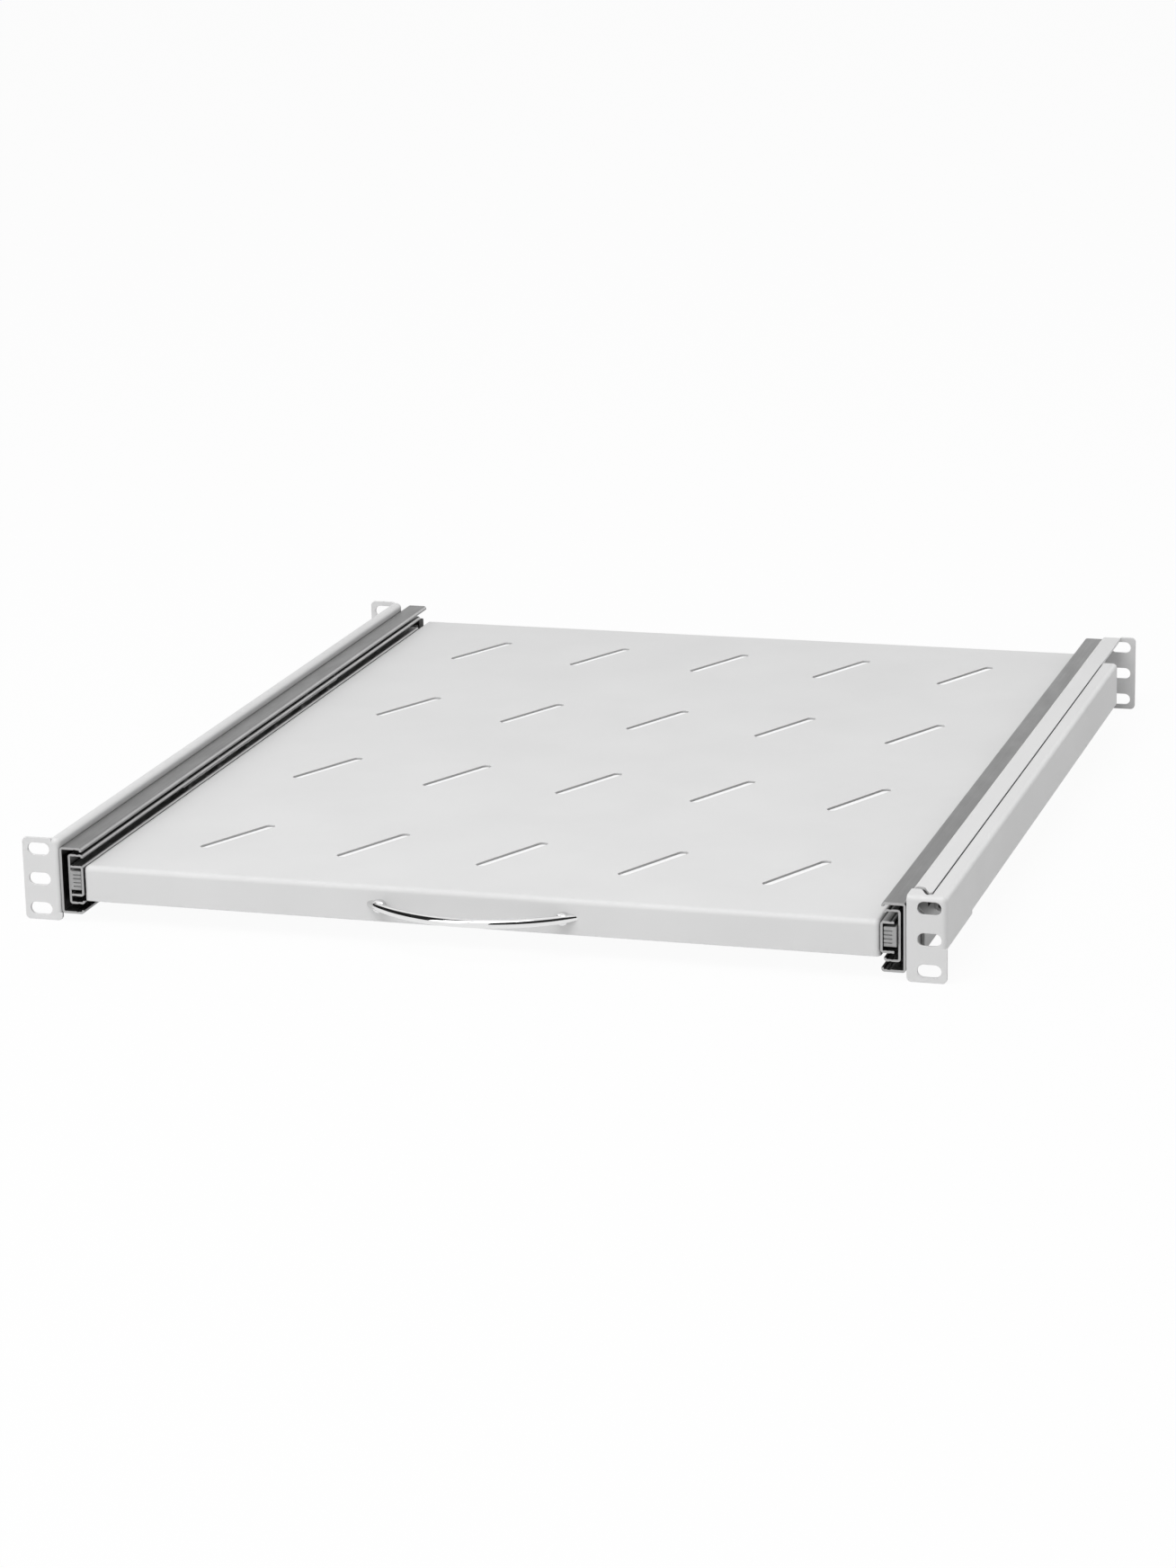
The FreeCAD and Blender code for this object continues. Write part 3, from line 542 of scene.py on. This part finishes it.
def turned(rows, sides, outline, ring=False):
    """Mesh turned about Z: outline(row, angle) gives radius and height, and a ring has no end caps."""
    mesh = bmesh.new()
    loops = []
    for row in range(rows):
        loop = []
        for side in range(sides):
            angle = 2 * math.pi * side / sides
            radius, height = outline(row, angle)
            loop.append(mesh.verts.new((radius * math.cos(angle), radius * math.sin(angle), height)))
        loops.append(loop)
    pairs = list(zip(loops, loops[1:]))
    if ring:
        pairs.append((loops[-1], loops[0]))
    else:
        mesh.faces.new(reversed(loops[0]))
        mesh.faces.new(loops[-1])
    for lower, upper in pairs:
        for side in range(sides):
            after = (side + 1) % sides
            mesh.faces.new((lower[side], lower[after], upper[after], upper[side]))
    return mesh


def as_mesh(shape, name):
    """Mesh data of a finished shape."""
    bmesh.ops.recalc_face_normals(shape, faces=shape.faces)
    mesh = bpy.data.meshes.new(name)
    shape.to_mesh(mesh)
    shape.free()
    return mesh


def cross_recess(width, wing, top, depth):
    """Cutter for a cross recess: a plus-shaped prism that tapers to its bottom."""
    taper = 0.45
    corners = []
    for quarter in range(4):
        turn = Matrix.Rotation(quarter * math.pi / 2, 2)
        for place in ((width / 2, -wing / 2), (width / 2, wing / 2), (wing / 2, wing / 2)):
            corners.append(turn @ Vector(place))
    cutter = bmesh.new()
    rings = []
    for height, size in ((top - depth, taper), (top, 1.0), (top + depth, 1.0)):
        rings.append([cutter.verts.new((corner.x * size, corner.y * size, height)) for corner in corners])
    for lower, upper in zip(rings, rings[1:]):
        for step in range(len(corners)):
            after = (step + 1) % len(corners)
            cutter.faces.new((lower[step], lower[after], upper[after], upper[step]))
    cutter.faces.new(reversed(rings[0]))
    cutter.faces.new(rings[-1])
    return cutter


def carved(body, cutter, name):
    """Mesh of a body with a cutter taken out of it."""
    solid = link_object(name, as_mesh(body, name))
    tool = link_object(name + "_tool", as_mesh(cutter, name + "_tool"))
    boolean = solid.modifiers.new("carve", "BOOLEAN")
    boolean.object = tool
    boolean.operation = "DIFFERENCE"
    boolean.solver = "EXACT"
    evaluated = solid.evaluated_get(bpy.context.evaluated_depsgraph_get())
    mesh = bpy.data.meshes.new_from_object(evaluated)
    for item in (solid, tool):
        bpy.data.objects.remove(item)
    return mesh


def screw_mesh(settings, diameter, reach, head_diameter, head_height):
    """Screw along Z: its seat at 0, a recessed head above and a threaded shank below."""
    pitch = settings.pitch
    radius = diameter / 2
    head_radius = head_diameter / 2
    crown_radius = 0.55 * head_radius
    crown_height = 0.45 * head_height
    recess_depth = 0.75 * head_height
    steps_per_turn = 8
    shank_rows = int(reach / pitch * steps_per_turn)
    seat_rows = 2
    dome_rows = 6

    def thread(height, angle):
        """Radius of the thread, which fades out at the tip and under the head."""
        phase = (height / pitch - angle / (2 * math.pi)) % 1.0
        crest = 1 - abs(2 * phase - 1)
        fade = min(1.0, -height / pitch)
        tip = max(0.0, 1 - (height + reach) / pitch)
        return radius - settings.thread_depth * ((1 - crest) * fade * (1 - tip) + tip)

    def outline(row, angle):
        """Radius and height of one row from the tip to the crown of the head."""
        if row < shank_rows:
            height = -reach * (1 - row / shank_rows)
            return thread(height, angle), height
        if row == shank_rows:
            return radius, 0.0
        if row == shank_rows + 1:
            return head_radius, 0.0
        bow = (row - shank_rows - seat_rows) / (dome_rows - 1) * math.pi / 2
        dome_radius = crown_radius + (head_radius - crown_radius) * math.cos(bow)
        return dome_radius, head_height - crown_height * (1 - math.sin(bow))

    body = turned(shank_rows + seat_rows + dome_rows, settings.sides, outline)
    recess = cross_recess(settings.recess_width, settings.recess_wing, head_height, recess_depth)
    return carved(body, recess, "screw")


def nut_mesh(settings, height, flange_diameter):
    """Flange nut along Z with its seat at 0, corners chamfered above and a countersunk bore."""
    flat_radius = settings.nut_flats / 2
    corner_radius = 2 * flat_radius / math.sqrt(3)
    flange_radius = flange_diameter / 2
    waist = settings.nut_flange
    bore = settings.screw / 2 + 0.05 * MM
    rim = 0.15 * MM
    rim_top = 0.4 * waist
    cone_radius = 0.9 * flange_radius
    cone_top = 0.85 * waist
    chamfer = 0.5 * MM
    chamfer_radius = corner_radius - 0.35 * chamfer
    chamfer_middle = height - 0.6 * chamfer
    top_radius = flat_radius - 0.02 * MM
    seat_sink = 0.3 * MM
    top_sink = 0.35 * MM

    def hexagon(angle, limit):
        """Radius of the hexagon, held inside the chamfer's circle."""
        turn = angle % (math.pi / 3) - math.pi / 6
        return min(flat_radius / math.cos(turn), limit)

    def section(angle):
        """Radii and heights round the nut, from the seat outwards and back down the bore."""
        return (
            (bore + seat_sink, 0.0),
            (flange_radius - rim, 0.0),
            (flange_radius, rim),
            (flange_radius, rim_top),
            (max(hexagon(angle, corner_radius), cone_radius), cone_top),
            (hexagon(angle, corner_radius), waist),
            (hexagon(angle, corner_radius), height - chamfer),
            (hexagon(angle, chamfer_radius), chamfer_middle),
            (hexagon(angle, top_radius), height),
            (bore + top_sink, height),
            (bore, height - top_sink),
            (bore, seat_sink),
        )

    rows = len(section(0.0))
    shape = turned(rows, 2 * settings.sides, lambda row, angle: section(angle)[row], ring=True)
    return as_mesh(shape, "nut")


def along(direction, place):
    """Matrix that stands a mesh with its Z axis along a direction at a place."""
    return Matrix.Translation(place) @ direction.to_track_quat("Z", "Y").to_matrix().to_4x4()


def joined(name, meshes):
    """One mesh of several, each stood at its matrix."""
    whole = bmesh.new()
    for mesh, place in meshes:
        mesh.transform(place)
        whole.from_mesh(mesh)
        bpy.data.meshes.remove(mesh)
    return as_mesh(whole, name)


def screw_group(name, node, direction, diameter, head_height, settings):
    """One mesh for all the screws of a node, whose heads point in one direction."""
    axis = max(range(3), key=lambda index: abs(direction[index]))
    beside = (axis + 1) % 3
    screws = []
    for low, high in solid_boxes(node):
        seat = (low + high) / 2
        top = high[axis] if direction[axis] > 0 else low[axis]
        seat[axis] = top - direction[axis] * head_height
        reach = high[axis] - low[axis] - head_height
        screw = screw_mesh(settings, diameter, reach, high[beside] - low[beside], head_height)
        screws.append((screw, along(direction, seat)))
    return joined(name, screws)


def nut_group(name, node, direction, settings):
    """One mesh for all the nuts of a node, which stand out along X in one direction."""
    nuts = []
    for low, high in solid_boxes(node):
        seat = (low + high) / 2
        seat.x = high.x if direction.x < 0 else low.x
        nuts.append((nut_mesh(settings, high.x - low.x, high.z - low.z), along(direction, seat)))
    return joined(name, nuts)


class RACKSHELF_OT_paint_sheet(bpy.types.Operator):
    """Powder coat on the tray and the brackets"""

    bl_idname = "rack_shelf.paint_sheet"
    bl_label = "Paint Sheet Metal"

    def execute(self, context):
        coat = powder_coat(context.scene.rack_shelf.paint)
        finish_nodes(coat, ["tray"] + both_sides("front_bracket", "rear_bracket"))
        return {"FINISHED"}


class RACKSHELF_OT_plate_slides(bpy.types.Operator):
    """Zinc on the three sections of each slide"""

    bl_idname = "rack_shelf.plate_slides"
    bl_label = "Plate Slides"

    def execute(self, context):
        zinc = rolled_zinc(context.scene.rack_shelf.plating)
        sections = ("slide_outer_member", "slide_intermediate_member", "slide_inner_member")
        finish_nodes(zinc, both_sides(*sections))
        return {"FINISHED"}


class RACKSHELF_OT_finish_ball_runs(bpy.types.Operator):
    """Steel of the balls and their cages"""

    bl_idname = "rack_shelf.finish_ball_runs"
    bl_label = "Finish Ball Runs"

    def execute(self, context):
        plating = context.scene.rack_shelf.plating
        finish_nodes(stamped_steel(plating), both_sides("outer_ball_cage", "inner_ball_cage"))
        finish_nodes(bearing_steel(plating), both_sides("outer_balls", "inner_balls"))
        return {"FINISHED"}


class RACKSHELF_OT_polish_handle(bpy.types.Operator):
    """Chrome on the bow handle"""

    bl_idname = "rack_shelf.polish_handle"
    bl_label = "Polish Handle"

    def execute(self, context):
        finish_nodes(polished_chrome(context.scene.rack_shelf.plating), ["handle"])
        return {"FINISHED"}


class RACKSHELF_OT_mould_levers(bpy.types.Operator):
    """Plastic of the release levers and rubber of the bumpers"""

    bl_idname = "rack_shelf.mould_levers"
    bl_label = "Mould Levers and Bumpers"

    def execute(self, context):
        settings = context.scene.rack_shelf.moulding
        plastic = moulded("lever_plastic", settings.lever, settings.lever_roughness, settings)
        rubber = moulded("bumper_rubber", settings.rubber, settings.rubber_roughness, settings)
        finish_nodes(plastic, both_sides("release_lever"))
        finish_nodes(rubber, both_sides("slide_rear_bumper", "intermediate_bumper"))
        return {"FINISHED"}


class RACKSHELF_OT_make_screws(bpy.types.Operator):
    """Screws with cross recess and thread in place of the plain ones"""

    bl_idname = "rack_shelf.make_screws"
    bl_label = "Make Screws"

    def execute(self, context):
        shelf = context.scene.rack_shelf
        size = shelf.fasteners
        zinc = fastener_zinc(shelf.plating)
        finish_nodes(zinc, both_sides("lever_pin"))
        groups = [("handle_screws", "tray", Vector((0, 1, 0)), size.screw, size.pan_head)]
        for side, inwards in zip(SIDES, (Vector((1, 0, 0)), Vector((-1, 0, 0)))):
            groups.append((side + "_slide_screws", "rails", inwards, size.screw, size.low_head))
            groups.append((side + "_tray_side_screws", "tray", inwards, size.tray_screw, size.pan_head))
        for node, body, direction, diameter, head_height in groups:
            name = node + "_threaded"
            mesh = screw_group(name, node, direction, diameter, head_height, size)
            new_piece(name, mesh, zinc, body, node)
        return {"FINISHED"}


class RACKSHELF_OT_make_nuts(bpy.types.Operator):
    """Flange nuts with chamfered corners in place of the plain ones"""

    bl_idname = "rack_shelf.make_nuts"
    bl_label = "Make Nuts"

    def execute(self, context):
        size = context.scene.rack_shelf.fasteners
        zinc = bpy.data.materials["fastener_zinc"]
        for side, outwards in zip(SIDES, (Vector((-1, 0, 0)), Vector((1, 0, 0)))):
            node = side + "_slide_nuts"
            name = node + "_chamfered"
            new_piece(name, nut_group(name, node, outwards, size), zinc, "rails", node)
        return {"FINISHED"}


def flat_card(name, corners, material):
    """Four-cornered card that belongs to the stage."""
    mesh = bpy.data.meshes.new(name)
    mesh.from_pydata(corners, [], [(0, 1, 2, 3)])
    mesh.materials.append(material)
    card = link_object(name, mesh)
    return card


def glossy_card(name, material, ends, distance, height, lean=1.0):
    """Card on the floor between two angles round the shelf, which only bright metal shows."""
    corners = []
    for level, reach in ((0, distance), (height, lean * distance)):
        edge = [(reach * math.sin(angle), -reach * math.cos(angle), level) for angle in ends]
        corners += reversed(edge) if corners else edge
    card = flat_card(name, corners, material)
    card.visible_camera = False
    card.visible_diffuse = False
    card.visible_shadow = False


def bare_material(name):
    """Material whose node tree holds only its output."""
    material = bpy.data.materials.new(name)
    material.use_nodes = True
    material.node_tree.nodes.clear()
    material.node_tree.nodes.new("ShaderNodeOutputMaterial")
    return material


def show_shader(tree, shader):
    """Link a shader to a material's output."""
    tree.links.new(shader.outputs[0], tree.nodes["Material Output"].inputs["Surface"])


def seen_directly(tree):
    """Socket that is 1 for rays that show the background: from the camera, from gloss and through glass."""
    path = tree.nodes.new("ShaderNodeLightPath")
    total = path.outputs["Is Camera Ray"]
    for name in ("Is Glossy Ray", "Is Transmission Ray"):
        larger = tree.nodes.new("ShaderNodeMath")
        larger.operation = "MAXIMUM"
        tree.links.new(total, larger.inputs[0])
        tree.links.new(path.outputs[name], larger.inputs[1])
        total = larger.outputs[0]
    return total


def white_floor(studio):
    """Pale floor that looks white and keeps a share of the object's shadow."""
    material = bare_material("studio_floor")
    tree = material.node_tree
    diffuse = tree.nodes.new("ShaderNodeBsdfDiffuse")
    diffuse.inputs["Color"].default_value = (*studio.floor, 1)
    white = tree.nodes.new("ShaderNodeEmission")
    kept = tree.nodes.new("ShaderNodeMixShader")
    kept.inputs["Fac"].default_value = studio.shadow
    tree.links.new(white.outputs[0], kept.inputs[1])
    tree.links.new(diffuse.outputs[0], kept.inputs[2])
    choice = tree.nodes.new("ShaderNodeMixShader")
    tree.links.new(seen_directly(tree), choice.inputs["Fac"])
    tree.links.new(diffuse.outputs[0], choice.inputs[1])
    tree.links.new(kept.outputs[0], choice.inputs[2])
    show_shader(tree, choice)
    return material


def dark_card(studio):
    """Matt black card."""
    material = bpy.data.materials.new("studio_flag")
    material.use_nodes = True
    shader = material.node_tree.nodes["Principled BSDF"]
    shader.inputs["Base Color"].default_value = (*studio.flag_colour, 1)
    shader.inputs["Roughness"].default_value = 1.0
    return material


def white_strip(studio):
    """Evenly bright strip."""
    material = bare_material("studio_strip")
    tree = material.node_tree
    glow = tree.nodes.new("ShaderNodeEmission")
    glow.inputs["Strength"].default_value = studio.strip_strength
    show_shader(tree, glow)
    return material


def set_cards(studio):
    """Dark cards round the front, of which the left one leans in, and a white strip behind on the right."""
    dark = dark_card(studio)
    distance = studio.flag_distance
    height = studio.flag_height
    glossy_card("studio_flag_left", dark, studio.left_flag, distance, height, studio.left_flag_lean)
    glossy_card("studio_flag_right", dark, studio.right_flag, distance, height)
    glossy_card("studio_strip", white_strip(studio), studio.strip, studio.strip_distance, studio.strip_height)


def set_sky(studio):
    """White all round: full for the background, weaker as light on the object."""
    world = bpy.data.worlds.new("studio_sky")
    bpy.context.scene.world = world
    world.use_nodes = True
    tree = world.node_tree
    background = tree.nodes["Background"]
    background.inputs["Color"].default_value = (1, 1, 1, 1)
    strength = tree.nodes.new("ShaderNodeMapRange")
    strength.inputs["To Min"].default_value = studio.sky
    strength.inputs["To Max"].default_value = 1.0
    tree.links.new(seen_directly(tree), strength.inputs["Value"])
    tree.links.new(strength.outputs["Result"], background.inputs["Strength"])


def set_light(name, power, size, place, target):
    """Square soft light that faces a target."""
    data = bpy.data.lights.new(name, "AREA")
    data.energy = power
    data.size = size
    light = link_object(name, data)
    light.location = place
    light.rotation_euler = (target - light.location).to_track_quat("-Z", "Y").to_euler()


def set_camera(studio):
    """Camera at the photograph's viewing angle."""
    data = bpy.data.cameras.new("photo_camera")
    camera = link_object("photo_camera", data)
    data.sensor_width = studio.sensor / MM
    data.lens = studio.focal * data.sensor_width / max(studio.image_width, studio.image_height)
    data.clip_end = 2 * studio.floor_size
    turn = studio.azimuth
    flat = math.cos(studio.elevation)
    back = Vector((math.sin(turn) * flat, -math.cos(turn) * flat, math.sin(studio.elevation)))
    level = Vector((math.cos(turn), math.sin(turn), 0))
    right = level * math.cos(studio.roll) + back.cross(level) * math.sin(studio.roll)
    axes = Matrix((right, back.cross(right), back)).transposed()
    place = Vector(studio.target) + back * studio.distance
    camera.matrix_world = Matrix.Translation(place) @ axes.to_4x4()
    bpy.context.scene.camera = camera


class RACKSHELF_OT_set_stage(bpy.types.Operator):
    """Floor, sky, lights and camera"""

    bl_idname = "rack_shelf.set_stage"
    bl_label = "Set Stage"

    def execute(self, context):
        studio = context.scene.rack_shelf.studio
        low, high = CAD_BOX
        middle = (low + high) / 2
        half = studio.floor_size / 2
        corners = [(-half, -half, low.z), (half, -half, low.z), (half, half, low.z), (-half, half, low.z)]
        flat_card("studio_floor", corners, white_floor(studio))
        set_sky(studio)
        set_light("key_light", studio.key_power, studio.light_size, studio.key_place, middle)
        set_light("fill_light", studio.fill_power, studio.light_size, studio.fill_place, middle)
        set_cards(studio)
        set_camera(studio)
        context.scene.view_settings.view_transform = "Standard"
        return {"FINISHED"}


OPERATORS = (
    RACKSHELF_OT_paint_sheet,
    RACKSHELF_OT_plate_slides,
    RACKSHELF_OT_finish_ball_runs,
    RACKSHELF_OT_polish_handle,
    RACKSHELF_OT_mould_levers,
    RACKSHELF_OT_make_screws,
    RACKSHELF_OT_make_nuts,
    RACKSHELF_OT_set_stage,
)


class RACKSHELF_PT_panel(bpy.types.Panel):
    """Steps that finish the shelf, in order, and their settings"""

    bl_idname = "RACKSHELF_PT_panel"
    bl_label = "Rack Shelf"
    bl_space_type = "VIEW_3D"
    bl_region_type = "UI"
    bl_category = "Rack Shelf"

    def draw(self, context):
        for operator in OPERATORS:
            self.layout.operator(operator.bl_idname)
        for group_name in RackShelfSettings.__annotations__:
            settings = getattr(context.scene.rack_shelf, group_name)
            box = self.layout.box()
            box.label(text=group_name.capitalize())
            for setting in type(settings).__annotations__:
                box.prop(settings, setting)


CLASSES = (
    SheetPaintSettings,
    PlatingSettings,
    MouldingSettings,
    FastenerSettings,
    StudioSettings,
    RackShelfSettings,
    *OPERATORS,
    RACKSHELF_PT_panel,
)


def register():
    """Add the classes and the shelf's settings to Blender."""
    for item in CLASSES:
        bpy.utils.register_class(item)
    bpy.types.Scene.rack_shelf = group("Rack shelf", "Settings of the rack shelf", RackShelfSettings)


def unregister():
    """Take the classes and the settings out again."""
    del bpy.types.Scene.rack_shelf
    for item in reversed(CLASSES):
        bpy.utils.unregister_class(item)


def main():
    """Dress the shelf and set the stage."""
    register()
    bpy.ops.rack_shelf.paint_sheet()
    bpy.ops.rack_shelf.plate_slides()
    bpy.ops.rack_shelf.finish_ball_runs()
    bpy.ops.rack_shelf.polish_handle()
    bpy.ops.rack_shelf.mould_levers()
    bpy.ops.rack_shelf.make_screws()
    bpy.ops.rack_shelf.make_nuts()
    bpy.ops.rack_shelf.set_stage()


if __name__ == "__main__":
    main()
